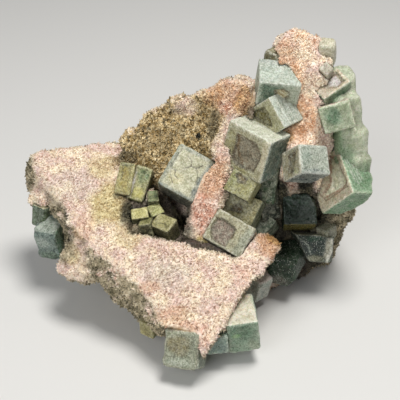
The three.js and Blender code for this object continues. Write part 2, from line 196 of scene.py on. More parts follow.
# Where each crystal sits in the rock: its middle, its edge lengths, its turn in degrees, and its broken
# corners, each as the direction that the piece went and how far the break lies inside the corner.
crystals = {
    "flat_cube": [((-4.5, 7.3, 44.8), (14.2, 14.5, 16.5), (-44, 30, -1))],
    "tower_cubes": [
        ((25.3, 22, 83), (6, 6, 6), (3, 9, -38)),
        ((26.1, 14.7, 77), (14.1, 11.8, 10.6), (18, 5, -2), ((0.87, 0.43, 0.24), 4.6)),
        ((25.5, 9.9, 67.8), (11.3, 10.4, 11.5), (-33, -28, -50)),
        ((18.5, 4.4, 58.1), (17.7, 12, 16), (-1, 12, -39), ((-0.46, -0.3, -0.83), 3.1)),
        ((14.5, -1, 46), (9.5, 8.5, 8), (-34, 29, -14)),
        ((14.1, -0.2, 36.8), (14.4, 9.5, 10), (-35, 26, -16)),
        ((23.6, 4.8, 44.5), (8, 9, 13), (-10, 5, -20)),
        ((22.8, 4.2, 36.8), (7.5, 8, 12), (-11, -7, 23)),
        ((22.5, 0.3, 28.3), (7.9, 6.5, 7.7), (36, -12, 48)),
        ((10.4, -8.8, 31.4), (14.7, 13, 11.4), (-38.5, 30.5, -7)),
    ],
    "edge_cube": [((34.7, -4.7, 57.2), (11.2, 11.6, 10), (-46, -4, 25))],
    "right_cubes": [
        ((49.5, 6.4, 43.5), (12.4, 17.6, 16.7), (25, 33, 17), ((0.8, -0.4, 0.45), 2.6),
         ((0.7, -0.6, -0.4), 2.6)),
        ((53.2, 9.5, 46), (9.8, 11, 15), (-5, 4, 15)),
        ((51.4, 10.5, 55.5), (11, 9.5, 15), (-10, 4, 10)),
        ((49.8, 13, 65.5), (9.5, 9, 17), (-5, -9, 12)),
        ((47.4, 17, 73.5), (9.4, 9, 15.5), (-5, 0, 12), ((-0.39, -0.45, 0.8), 5.2)),
        ((45.8, 9.3, 68), (10.6, 10.4, 9.4), (-21, -17, -6)),
        ((44.4, 14.3, 75.7), (11, 7.7, 5.2), (28, -17, 31)),
        ((42.2, 14.8, 81.6), (3.8, 4, 5), (43, -12, 42)),
    ],
    "crown_cube": [((42.9, 21.6, 85.2), (5.8, 6, 9), (10, -5, -12))],
    "dark_cube": [((34.7, 3.5, 32.6), (11.5, 12, 11), (-45, -1, -2), ((0.75, -0.45, 0.45), 2.4))],
    "low_cubes": [
        ((45.3, 4, 23.8), (5.5, 6, 5.5), (2, -11, -45)),
        ((38.5, 1.2, 19.5), (17, 8, 9.6), (-25, 5, 5), ((-0.85, -0.1, -0.52), 7.4)),
        ((31, -0.8, 14), (11, 14, 12), (5, -5, -20), ((0.8, -0.15, -0.58), 3)),
    ],
    "low_corner_cube": [((20.5, -8.2, 9.4), (7, 7.2, 10.4), (10, 9, 41))],
    "front_right_cubes": [
        ((13.5, -33, 13), (10.5, 13.5, 13.5), (6, -6, 6)),
        ((5.5, -38.5, 11), (7, 7, 7), (-4, -4, 4)),
    ],
    "front_cube": [((-4.7, -41.2, 9.6), (12.4, 11.4, 12.8), (-35, 6, -15))],
    "side_crystal": [((-16.8, -28.8, 8.2), (5.6, 5, 6.4), (6, -2, -31))],
    "left_cubes": [
        ((-56.6, 8.2, 28.1), (6, 5.4, 8), (-13, 7, -36)),
        ((-52.6, 5.1, 21.3), (10.2, 13, 14.4), (6, -5, -19)),
    ],
    "hollow_pair": [
        ((-26, 7.5, 43), (5.5, 9, 11.5), (-45, 10, 2)),
        ((-21, 8, 40.5), (6, 12.5, 9.5), (43, 2, -17)),
    ],
    "hollow_cubes": [
        ((-16.2, 2, 38.5), (4, 5, 5.5), (19, 0, 6)),
        ((-20.5, -3.5, 35.5), (6, 4.5, 5), (26, -3, 8)),
        ((-15.5, -1.5, 35.3), (5, 5, 5.5), (20, 5, 30)),
        ((-18, -7.5, 33.5), (4.5, 5.5, 5.5), (-9, -13, -8)),
        ((-12, -6.5, 32), (7.5, 6.5, 8.5), (16, -6, -31)),
    ],
    "back_cubes": [
        ((49, 24, 44), (9, 10, 9), (12, 20, -25)),
        ((46, 26, 51), (7, 8, 9), (-15, 10, 30)),
    ],
}


def turned(turn):
    """The turn about X, then Y, then Z of the crystal's own axes, as a matrix."""
    a, b, c = np.radians(turn)
    about_x = np.array([[1, 0, 0], [0, np.cos(a), -np.sin(a)], [0, np.sin(a), np.cos(a)]])
    about_y = np.array([[np.cos(b), 0, np.sin(b)], [0, 1, 0], [-np.sin(b), 0, np.cos(b)]])
    about_z = np.array([[np.cos(c), -np.sin(c), 0], [np.sin(c), np.cos(c), 0], [0, 0, 1]])
    return about_x @ about_y @ about_z


def break_plane(size, toward, reach):
    """The flat left by a broken corner: its direction, and how far it lies from the crystal's middle."""
    toward = np.array(toward) / np.linalg.norm(toward)
    return toward, np.abs(toward) @ np.array(size) / 2 - reach


def off_crystals(points):
    """How far each point is from the nearest crystal, and below 0 inside one."""
    nearest = np.full(len(points), 1e3)
    for group in crystals.values():
        for middle, size, turn, *breaks in group:
            own = (points - middle) @ turned(turn)
            beyond = np.abs(own) - np.array(size) / 2
            outside = np.linalg.norm(np.maximum(beyond, 0), axis=1)
            away = outside + np.minimum(beyond.max(axis=1), 0)
            for toward, reach in breaks:
                direction, limit = break_plane(size, toward, reach)
                away = np.maximum(away, own @ direction - limit)
            nearest = np.minimum(nearest, away)
    return nearest


def patch(points, middle, reach, seed, ragged=0.35):
    """1 in the middle of a stain or zone and 0 beyond its reach, with a ragged border."""
    away = np.linalg.norm((points - middle) / reach, axis=1)
    return 1 - ease(0.6, 1.15, away + ragged * ripple(points, 4.5, seed))


# Stains in the crust, and patches of painted shade: the middle, the reach along X, Y and Z, and how strong
# each is.
stains = {
    "yellow": [
        ((-31, -1, 39), (7, 13, 6), 0.75),
        ((-35.6, 15, 45), (7, 7, 4), 0.5),
        ((-24, -8, 34), (6, 6, 5), 0.5),
        ((1, -12, 31.5), (2.4, 2.4, 2.4), 1.0),
        ((-24, -14, 33), (6, 4, 4), 0.4),
        ((-44, -14, 27), (6, 6, 5), 0.5),
    ],
    "orange": [
        ((-39.5, -10, 35.5), (4.5, 7, 4), 0.3),
        ((3, -2, 49), (8, 8, 9), 0.7),
        ((-9, -38, 20.5), (6, 3.5, 4), 0.45),
        ((-4.8, -41, 18.5), (5, 3.5, 3), 0.5),
        ((-16.3, -29.5, 25), (4, 2.5, 3), 0.4),
        ((9, 16, 72), (7, 7, 6), 0.6),
        ((33.5, 9, 66), (5, 8, 9), 0.7),
        ((28, 18, 87), (4, 5, 5), 0.6),
        ((23, -12, 30.5), (6, 8, 5), 0.8),
        ((29, 10, 72), (6, 8, 7), 0.4),
        ((13.5, 14, 75), (4, 5, 4), 0.4),
        ((30, 15, 82), (3, 5, 5), 0.5),
    ],
    "salmon": [
        ((1, -7.5, 38.5), (6, 8, 9), 0.95),
        ((0.5, -45, 17), (3.5, 6, 4), 0.5),
        ((14, -26, 27), (3, 5, 4), 0.4),
        ((9.5, 14, 67.5), (3.5, 5, 3), 0.7),
        ((33, 2, 45), (6, 6, 4.5), 0.9),
    ],
    "peach": [
        ((34, 9, 66), (6, 9, 12), 0.9),
        ((31, 14, 80), (6, 7, 7), 0.8),
        ((35, 22, 91), (7, 7, 5), 0.5),
    ],
    "grey": [
        ((-12, -24, 27), (10, 7, 5), 0.3),
        ((-44, 8, 41), (9, 10, 5), 0.25),
    ],
    "rust": [
        ((15, 12.5, 71.5), (3.5, 6, 5.5), 0.65),
        ((26, -8.5, 29.5), (4, 4, 3), 0.9),
        ((29.5, 5, 61), (2.2, 3, 3), 0.6),
    ],
    # Painted shade: near-black crust painted where shade falls, in the hollow, along the lobe's back edge,
    # under and behind the tower's low cubes and round the foot. The large low patch on the right is partly a
    # real dark crust too.
    "painted_shade_and_dark_crust": [
        ((33, 6, 24), (16, 13, 21), 0.95),
        ((26, 2, 40), (6, 8, 10), 1.0),
        ((-12, -4, 31), (14, 10, 8), 0.75),
        ((4.8, 14.5, 61), (2.4, 4, 8), 0.6),
        ((-24.5, -2, 35), (3, 8, 6), 1.0),
        ((-6.5, 1, 34), (4.5, 10, 9), 1.0),
        ((-8, -9.5, 29), (13, 3.6, 3.4), 1.0),
        ((-45, -4, 31), (4, 7, 5), 0.45),
        ((-0.3, 15, 56.8), (1.1, 2, 1.3), 1.0),
        ((-26, 16, 47), (4, 4, 4), 0.5),
        ((-20.5, 0.5, 37.5), (4, 4, 3), 0.9),
        ((-9, 6, 34), (9, 8, 7), 0.9),
        ((33, 2.5, 42.5), (6, 5, 3), 0.5),
        ((37, 3, 44.5), (4, 6, 5), 1.0),
        ((31.5, 1.5, 43), (3.5, 4, 4), 0.35),
        ((16.6, 9.2, 68.4), (2.4, 2.4, 3), 0.6),
        ((-7, -41, 15), (5, 5, 3), 0.5),
        ((38, 3, 6), (12, 10, 8), 0.9),
    ],
}


def rock_zones(points, normals):
    """How much of each kind of crust, and of painted shade, lies at each point of the rock."""
    up = normals[:, 2]
    front = -normals[:, 1]
    x, y, z = points.T
    ridge = patch(points, (-10, 17, 58), (27, 14, 26), 3, 0.15) * ease(-0.5, 0.0, front)
    rib_edge = 8.5 - 8 * ease(49, 56, z)
    ridge *= ease(rib_edge, rib_edge + 3, y)
    ridge *= 1 - patch(points, (14, 14, 74), (5.5, 6, 7), 9, 0.3)
    ridge *= 1 - 0.8 * patch(points, (-5, 18, 66.5), (6, 5, 3.4), 17)
    ridge *= 1 - 0.7 * ease(0.8, 0.98, up)
    steep = 1 - ease(0.15, 0.55, up + 0.2 * ripple(points, 6, 4))
    side = steep * (1 - ease(34, 40, z)) * (1 - ease(2, 12, x))
    knob = patch(points, (-42, -13, 24), (8, 8, 8), 10)
    side *= 1 - 0.85 * knob
    side *= 1 - patch(points, (1, -46, 15), (6, 8, 6), 8, 0.1)
    side += patch(points, (-62, 18, 40), (4, 7, 8), 6) + 0.8 * patch(points, (-47, -8, 27), (5, 8, 6), 7)
    buttress = ease(37, 42, x + 2 * ripple(points, 6, 5)) * (1 - ease(31, 37, z))
    under = 1 - ease(-0.55, -0.15, up)
    back = ease(0.1, 0.5, -front)
    zones = {"ridge": ridge, "edge": np.clip(side + buttress + under + 0.8 * back, 0, 1)}
    for seed, (name, places) in enumerate(stains.items()):
        amount = np.zeros(len(points))
        for middle, reach, strength in places:
            amount = np.maximum(amount, strength * patch(points, middle, reach, 40 + seed))
        zones[name] = amount
    # The painted shade is taken off the far right of the rock.
    zones["painted_shade_and_dark_crust"] = zones["painted_shade_and_dark_crust"] * (1 - ease(46, 50, x))
    return zones


def drawn_back(points, crystal, gap=0.4):
    """Rock that lies over the right half of a crystal's front face, drawn back to that face's right edge."""
    middle, size, turn = crystal
    own = (points - middle) @ turned(turn)
    over = ease(0, 0.25, -own[:, 1] - size[1] / 2) * (1 - ease(0.5, 2.5, np.abs(own[:, 2]) - size[2] / 2))
    over *= ease(-2, 0, own[:, 0])
    own[:, 0] += over * np.maximum(size[0] / 2 + gap - own[:, 0], 0)
    return own @ turned(turn).T + np.array(middle)


rock_points, rock_faces = evened(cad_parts["matrix"].data, rock_cell)
rock_points = drawn_back(rock_points, crystals["flat_cube"][0])
clearance = off_crystals(rock_points)
free = ease(0.6, 3.5, clearance)
rock_points = smoothed(rock_points, rock_faces, rock_rounds, 0.5 * free)
rock_normals = point_normals(rock_points, rock_faces)
zones = rock_zones(rock_points, rock_normals)
lumps = 0.45 * ripple(rock_points, 5, 11) + 0.3 * ripple(rock_points, 2.2, 12)
knob = patch(rock_points, (-42, -13, 25), (9, 9, 9), 19)
knobbly = np.clip(zones["edge"] + 0.6 * zones["ridge"] + 0.8 * knob, 0, 1)
lumps += knobbly * (1.5 * np.abs(ripple(rock_points, 4, 13)) + 0.5 * ripple(rock_points, 1.8, 14) - 0.3)
lumps += 0.9 * ripple(rock_points, 8, 16) * zones["ridge"]
# Small peaks along the top of the ridge: each one's place, and how high it stands.
crest = [(-24.5, 19, 54, 1.4), (-17, 20, 63, 0.9), (-8, 20, 68, 1.6), (-1.5, 20, 71, 0.8), (7, 21, 76, 1.2)]
for x, y, z, height in crest:
    bump = patch(rock_points, (x, y, z), (4, 6, 3.5), 18, 0.5) * ease(-0.2, 0.5, rock_normals[:, 2])
    lumps += height * bump * (1 + 0.5 * ripple(rock_points, 2, 20))
grown_up = 0.25 * (1 - ease(0.4, 1.6, clearance))
foot = ease(0.3, 1.5, rock_points[:, 2])
rock_points += rock_normals * ((lumps * (0.35 + 0.65 * free) + grown_up) * foot)[:, None]
rock_points[:, 2] = np.maximum(rock_points[:, 2], 0)

rock = piece_of("rock", rock_points, rock_faces, True)
for name, amount in zones.items():
    mark(rock, name, amount)
mark(rock, "tint", 0.5 + 0.5 * ripple(rock_points, 0.9, 15))


class Looks:
    """A material under way: makes nodes and joins them, one call for each."""

    def __init__(self, name):
        self.material = bpy.data.materials.new(name)
        self.material.use_nodes = True
        self.nodes = self.material.node_tree.nodes
        self.surface = self.nodes["Principled BSDF"]
        self.place = self.nodes.new("ShaderNodeTexCoord").outputs["Object"]

    def join(self, source, target):
        """Links an output to an input, or sets the input to a number or a colour."""
        if hasattr(source, "is_output"):
            self.material.node_tree.links.new(source, target)
        else:
            target.default_value = shade(source).tolist() if isinstance(source, tuple) else source

    def made(self, kind, output, inputs, **settings):
        """One output of a new node, after its settings and inputs are filled in."""
        node = self.nodes.new("ShaderNode" + kind)
        for name, value in settings.items():
            setattr(node, name, value)
        for name, source in inputs.items():
            self.join(source, node.inputs[name])
        return node.outputs[output]

    def stored(self, name, output="Fac"):
        return self.made("Attribute", output, {}, attribute_name=name)

    def cloud(self, size, detail=3, roughness=0.55):
        """Soft noise with blotches of that size in millimetres."""
        inputs = {"Scale": 1 / (size * MM), "Detail": detail, "Roughness": roughness, "Vector": self.place}
        return self.made("TexNoise", "Fac", inputs)

    def grains(self, size, output="Distance"):
        return self.made("TexVoronoi", output, {"Scale": 1 / (size * MM), "Vector": self.place})

    def between(self, value, low_end, high_end, low_to=0.0, high_to=1.0):
        """The value eased from one range into another."""
        inputs = {"Value": value, "From Min": low_end, "From Max": high_end,
                  "To Min": low_to, "To Max": high_to}
        return self.made("MapRange", "Result", inputs, interpolation_type="SMOOTHSTEP")

    def mixed(self, amount, first, second, blend="MIX"):
        """Two colours mixed: a mix node's colours are its inputs 6 and 7 and its output 2."""
        inputs = {"Factor": amount, 6: first, 7: second}
        return self.made("Mix", 2, inputs, data_type="RGBA", blend_type=blend)

    def math(self, action, first, second):
        return self.made("Math", 0, {0: first, 1: second}, operation=action)

    def relief(self, height, depth, strength, under=None):
        """A bump of that depth in millimetres, on top of another one if there is one under it."""
        inputs = {"Distance": depth * MM, "Strength": strength, "Height": height}
        if under is not None:
            inputs["Normal"] = under
        return self.made("Bump", "Normal", inputs)


def crust_looks(name, fleck_size, roughness, glitter):
    """The sugary crust: its colour by zone and stain, with painted shade, and every grain a little
    different.
    """
    look = Looks(name)
    fleck = look.stored("tint")

    def crust(size, dark, mid, pale, dark_share=0.35, pale_share=0.75):
        """Three tones of one crust: blotches of two of them, and grains of all three."""
        tone = look.mixed(look.between(look.cloud(size), 0.38, 0.62), mid, pale)
        tone = look.mixed(look.between(fleck, 0.0, dark_share, 0.85, 0), tone, dark)
        return look.mixed(look.between(fleck, pale_share, 1.0, 0, 0.8), tone, pale)

    pink = crust(5, (180, 146, 122), (236, 212, 200), (250, 236, 212), 0.34, 0.68)
    ridge = crust(1.4, (62, 54, 34), (180, 152, 98), (240, 220, 176), 0.48, 0.68)
    edge = crust(3.2, (62, 60, 44), (124, 116, 90), (204, 190, 160), 0.44, 0.68)
    # Near-black tones for the painted shade, in places also a real dark crust.
    painted_shade_and_dark_crust = crust(3, (22, 24, 18), (44, 44, 34), (92, 86, 66), 0.5, 0.85)
    yellow = crust(2.5, (158, 136, 82), (204, 184, 122), (226, 212, 158))
    salmon = crust(2, (156, 96, 72), (226, 172, 146), (250, 226, 208), 0.42, 0.62)
    peach = crust(3, (206, 142, 96), (250, 212, 174), (255, 240, 222), 0.3, 0.68)
    grey = crust(2.2, (150, 142, 134), (196, 188, 180), (228, 220, 210))
    orange = crust(1.8, (150, 96, 60), (212, 160, 112), (236, 200, 168), 0.42, 0.68)
    rust = crust(2, (98, 72, 38), (176, 130, 74), (222, 180, 118))
    colour = pink
    for zone, paint in (("grey", grey), ("yellow", yellow), ("peach", peach), ("ridge", ridge),
                        ("edge", edge), ("orange", orange), ("salmon", salmon), ("rust", rust),
                        ("painted_shade_and_dark_crust", painted_shade_and_dark_crust)):
        colour = look.mixed(look.stored(zone), colour, paint)
    specks = look.between(look.grains(fleck_size, "Color"), 0.15, 0.75)
    colour = look.mixed(0.3, colour, specks, "SOFT_LIGHT")
    look.join(colour, look.surface.inputs["Base Color"])
    look.join(look.between(fleck, 0.3, 0.9, roughness, glitter), look.surface.inputs["Roughness"])
    coarse = look.relief(look.grains(fleck_size), 0.22, 0.9)
    look.join(look.relief(look.cloud(0.3), 0.08, 0.6, coarse), look.surface.inputs["Normal"])
    look.surface.inputs["Specular IOR Level"].default_value = 0.4
    return look.material


rock.data.materials.append(crust_looks("crust under the grains", 0.8, 0.9, 0.7))
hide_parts("matrix")
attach(rock, "root")


# The sugar is the crust itself: nearly sixty thousand quartz crystals, about half a millimetre to a
# millimetre across, each grown out of the rock with its point outward. They are thick on the lobes, the
# rib and the tower, coarser on the ridge, and thin on the broken edges and the back.
sugar_count = 59000
sugar_pieces = 3
spread = np.random.default_rng(7)


def scattered(points, faces, weights, count):
    """Random places on a mesh, more where the weights are higher: the points and their faces."""
    a, b, c, d = (points[faces[:, k]] for k in range(4))
    area = np.linalg.norm(np.cross(c - a, d - b), axis=1) / 2
    chance = area * weights[faces].mean(axis=1)
    chosen = spread.choice(len(faces), count, p=chance / chance.sum())
    u, v = spread.random((2, count, 1))
    across = a[chosen] * (1 - u) + b[chosen] * u
    along = d[chosen] * (1 - u) + c[chosen] * u
    return across * (1 - v) + along * v, chosen


def pointed_grains(places, outward, widths, heights):
    """One small double pyramid at each place, four-sided, turned at random, its point leaning outward."""
    count = len(places)
    lean = outward + 0.75 * spread.normal(size=(count, 3))
    lean /= np.linalg.norm(lean, axis=1, keepdims=True)
    side = np.cross(lean, spread.normal(size=(count, 3)))
    side /= np.linalg.norm(side, axis=1, keepdims=True)
    other = np.cross(lean, side)
    half = widths[:, None] / 2
    tips = [side * half, other * half, -side * half, -other * half]
    tips += [lean * heights[:, None] * 0.6, -lean * heights[:, None] * 0.4]
    points = np.stack([places + tip for tip in tips], axis=1).reshape(-1, 3)
    faces = []
    for k in range(4):
        faces.append([k, (k + 1) % 4, 4])
        faces.append([(k + 1) % 4, k, 5])
    faces = (np.array(faces)[None] + 6 * np.arange(count)[:, None, None]).reshape(-1, 3)
    return points, faces


rock_normals = point_normals(rock_points, rock_faces)
clearance = off_crystals(rock_points)
zones = rock_zones(rock_points, rock_normals)
facing = np.clip(0.25 + 1.2 * ease(-0.4, 0.2, rock_normals[:, 2] - 0.7 * rock_normals[:, 1]), 0, 1)
thick = facing * (1 - 0.45 * zones["edge"]) * ease(0.25, 0.5, clearance) * ease(0.4, 1.2, rock_points[:, 2])
places, chosen = scattered(rock_points, rock_faces, thick, sugar_count)
outward = rock_normals[rock_faces[chosen, 0]]
clear = off_crystals(places) > crust_gap
places = places[clear]
outward = outward[clear]
grain_zones = rock_zones(places, outward)
widths = spread.uniform(0.46, 0.95, len(places)) * (1 + 0.35 * grain_zones["ridge"])
heights = widths * spread.uniform(1.2, 2.3, len(places))
tints = spread.random(len(places))
crust_material = crust_looks("sugar crust", 0.5, 0.75, 0.3)
for part in range(sugar_pieces):
    mine = np.arange(part, len(places), sugar_pieces)
    grain_points, grain_faces = pointed_grains(places[mine], outward[mine], widths[mine], heights[mine])
    grain_points[:, 2] = np.maximum(grain_points[:, 2], 0.05)
    sugar = piece_of(f"sugar_{part + 1}", grain_points, grain_faces, False)
    # Each grain takes the rock's zones and stains, the painted shade among them.
    for name, amount in grain_zones.items():
        mark(sugar, name, np.repeat(amount[mine], 6))
    mark(sugar, "tint", np.repeat(tints[mine], 6))
    sugar.data.materials.append(crust_material)
    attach(sugar, "root")


# The flat cube is a large fluorite crystal that lies against the ridge and grew fast to it. Its frosted
# front is pale and cracked, with worn blue-grey rims, and its lower face is dark with painted shade.
worn_lines = [0, 0.12, 0.28, 0.5, 0.8]


def grid_lines(length, cell):
    """Where the grid lines cross an edge: close together at both ends, where the edge is worn round."""
    steps = max(2, round((length - 2 * worn_lines[-1]) / cell))
    inner = np.linspace(worn_lines[-1], length - worn_lines[-1], steps + 1)
    ends = np.array(worn_lines[:-1])
    return np.concatenate([ends, inner, length - ends[::-1]]) - length / 2


def box_skin(size, cell):
    """The skin of a box as a grid of four-cornered faces: its points and its faces."""
    lines = [grid_lines(edge, cell) for edge in size]
    counts = [len(line) for line in lines]
    sheets = []
    for axis in range(3):
        first, second = (axis + 1) % 3, (axis + 2) % 3
        a, b = np.meshgrid(np.arange(counts[first] - 1), np.arange(counts[second] - 1), indexing="ij")
        for end in (0, counts[axis] - 1):
            corners = []
            for da, db in ((0, 0), (1, 0), (1, 1), (0, 1)):
                at = [None, None, None]
                at[axis] = np.full(a.size, end)
                at[first] = a.ravel() + da
                at[second] = b.ravel() + db
                corners.append(np.ravel_multi_index(at, counts))
            sheets.append(np.stack(corners[::-1] if end == 0 else corners, axis=1))
    faces = np.concatenate(sheets)
    used, compact = np.unique(faces, return_inverse=True)
    at = np.unravel_index(used, counts)
    points = np.stack([lines[axis][at[axis]] for axis in range(3)], axis=1)
    return points, compact.reshape(faces.shape)


def inside_outline(flat, outline):
    """How far each flat point is inside an outline, and below 0 outside it."""
    outline = np.array(outline, float)
    away = np.full(len(flat), 1e3)
    crossings = np.zeros(len(flat), int)
    for start, stop in zip(outline, np.roll(outline, -1, axis=0)):
        edge = stop - start
        along = np.clip(((flat - start) @ edge) / (edge @ edge), 0, 1)
        away = np.minimum(away, np.linalg.norm(flat - start - along[:, None] * edge, axis=1))
        spans = (flat[:, 1] < start[1]) != (flat[:, 1] < stop[1])
        rise = np.where(edge[1] == 0, 1, edge[1])
        reach = start[0] + (flat[:, 1] - start[1]) * edge[0] / rise
        crossings += spans & (flat[:, 0] < reach)
    return np.where(crossings % 2 == 1, away, -away)


face_names = ["-x", "+x", "-y", "+y", "-z", "+z"]


def off_line(flat, line):
    """How far each flat point is from a line of several stretches."""
    away = np.full(len(flat), 1e3)
    for start, stop in zip(line[:-1], line[1:]):
        start, edge = np.array(start, float), np.array(stop, float) - start
        along = np.clip(((flat - start) @ edge) / (edge @ edge), 0, 1)
        away = np.minimum(away, np.linalg.norm(flat - start - along[:, None] * edge, axis=1))
    return away


def fluorite(crystal, body, faces=None, pockets=(), cuts=(), seams=(), washes=(), cell=0.5, worn=0.6, seed=1,
             rim=1.0):
    """One fluorite cube. Its faces step down in low terraces and are pitted, and its edges are worn round
    and bitten. Pockets are etched hollows: face, outline, depth, floor and wall colours. Cuts are the
    colours of its broken corners. Seams are fine grooves: face, line, width, depth and colour. Washes are
    patches of another colour: face, middle, reach, colour and strength. Returns the points, faces and
    colours, and how near each point is to an edge, a pocket or a break. A rim of 0 hides the pale edges."""
    middle, size, turn, *breaks = crystal
    points, skin = box_skin(size, cell)
    half = np.array(size) / 2
    inset = half - np.abs(points)
    axis = inset.argmin(axis=1)
    rows = np.arange(len(points))
    sign = np.sign(points[rows, axis])
    edge = np.sort(inset, axis=1)[:, 1]
    side = 2 * axis + (sign > 0)
    spot = points + 40 * seed
    colour = np.tile(shade(body), (len(points), 1))
    for name, paint in (faces or {}).items():
        colour[side == face_names.index(name)] = shade(paint)
    colour[:, :3] *= (1 + 0.14 * ripple(spot, 3.5, 31) + 0.08 * ripple(spot, 1.2, 32))[:, None]

    def flat_on(name):
        """The points' places on one face, and which of them lie in it."""
        across, up = [k for k in range(3) if k != "xyz".index(name[1])]
        return points[:, [across, up]], side == face_names.index(name)

    for name, place, reach, paint, strength in washes:
        flat, on_face = flat_on(name)
        away = np.linalg.norm((flat - place) / np.array(reach), axis=1) + 0.3 * ripple(spot, 2, 33)
        share = on_face * strength * (1 - ease(0.5, 1.2, away))
        colour += (shade(paint) - colour) * share[:, None]
    radius = np.clip(worn * (1 + 0.45 * ripple(spot, 2.5, 21)), 0.15, 0.96 * half.min())[:, None]
    core = np.clip(points, -(half - radius), half - radius)
    bulge = points - core
    outward = bulge / np.maximum(np.linalg.norm(bulge, axis=1, keepdims=True), 1e-9)
    shaped = core + outward * radius
    stair = (edge + 0.9 * ripple(spot, 5, 22)) / 1.6
    terrace = np.floor(stair) + ease(0.8, 1.0, stair - np.floor(stair))
    pits = ease(0.4, 0.7, ripple(spot, 1.3, 23))
    height = -0.12 * np.clip(terrace, 0, 3) + 0.12 * ripple(spot, 2.6, 24) + 0.07 * ripple(spot, 0.9, 25)
    height = (height - 0.2 * pits) * ease(0.1, 0.8, edge)
    height -= 0.3 * ease(0.3, 0.7, ripple(spot, 1.6, 30)) * (1 - ease(0.3, 1.1, edge))
    pocket_depth = np.zeros(len(points))
    for name, outline, depth, floor_colour, wall_tone_and_shade in pockets:
        flat, on_face = flat_on(name)
        deep = np.where(on_face, inside_outline(flat + 0.25 * ripple(spot, 1.8, 26)[:, None], outline), -1)
        sunk = ease(-0.25, 0.35, deep)
        height = height * (1 - sunk) - sunk * (depth + 0.25 * ripple(spot, 1.1, 27))
        pocket_depth = np.maximum(pocket_depth, sunk)
        floor_paint = shade(floor_colour) * (1 + 0.22 * ripple(spot, 1.2, 28))[:, None]
        colour = np.where(sunk[:, None] > 0.35, floor_paint, colour)
        # A dark band of wall colour round the outline: partly the wall's own tone, partly painted shade in
        # the pocket.
        pocket_rim_shade = ease(-0.5, -0.1, deep) * (1 - ease(0.3, 0.8, deep))
        colour += (shade(wall_tone_and_shade) - colour) * (0.8 * pocket_rim_shade)[:, None]
    for name, line, width, depth, paint in seams:
        flat, on_face = flat_on(name)
        away = off_line(flat + 0.12 * ripple(spot, 0.9, 34)[:, None], line)
        groove = on_face * (1 - ease(0.35, 1.0, away / width))
        height -= depth * groove
        colour += (shade(paint) - colour) * (0.85 * groove)[:, None]
    shaped += outward * height[:, None]
    broken = np.zeros(len(points))
    for (toward, reach), cut_colour in zip(breaks, cuts):
        direction, limit = break_plane(size, toward, reach)
        limit = limit + 0.3 * ripple(spot, 2.4, 29) + 0.12 * ripple(spot, 0.9, 35)
        along = shaped @ direction
        shaped *= np.where(along > limit, limit / np.maximum(along, 1e-9), 1)[:, None]
        hit = ease(0.0, 0.25, along - limit)
        edge = np.where(hit > 0, np.maximum(edge, 1.4), edge)
        edge = np.minimum(edge, 0.3 + 1.2 * np.abs(along - limit))
        fresh = shade(cut_colour) * (1 + 0.12 * ripple(spot, 1.5, 36))[:, None]
        colour += (fresh - colour) * hit[:, None]
        broken = np.maximum(broken, hit)
    return {
        "points": shaped @ turned(turn).T + np.array(middle),
        "faces": skin,
        "colour": colour,
        "edge_mm": edge + 3 * (1 - rim) + 2 * pocket_depth,
        "pocket": pocket_depth,
        "broken": broken,
    }


def joined(cubes):
    """The points and the faces of several cubes, as one list of each."""
    starts = np.cumsum([0] + [len(cube["points"]) for cube in cubes[:-1]])
    faces = np.concatenate([cube["faces"] + start for cube, start in zip(cubes, starts)])
    return np.concatenate([cube["points"] for cube in cubes]), faces


def grow(name, node, cubes, material):
    """The cubes of one growth as one piece in its socket, with what its material reads stored on it."""
    piece = piece_of(name, *joined(cubes), True)
    colour = np.concatenate([cube["colour"] for cube in cubes])
    mark(piece, "body", np.concatenate([np.clip(colour[:, :3], 0, 1), np.ones((len(colour), 1))], axis=1))
    for layer in ("edge_mm", "pocket", "broken"):
        mark(piece, layer, np.concatenate([cube[layer] for cube in cubes]))
    piece.data.materials.append(material)
    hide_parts(node)
    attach(piece, "root")


fluorite_ior = 1.434


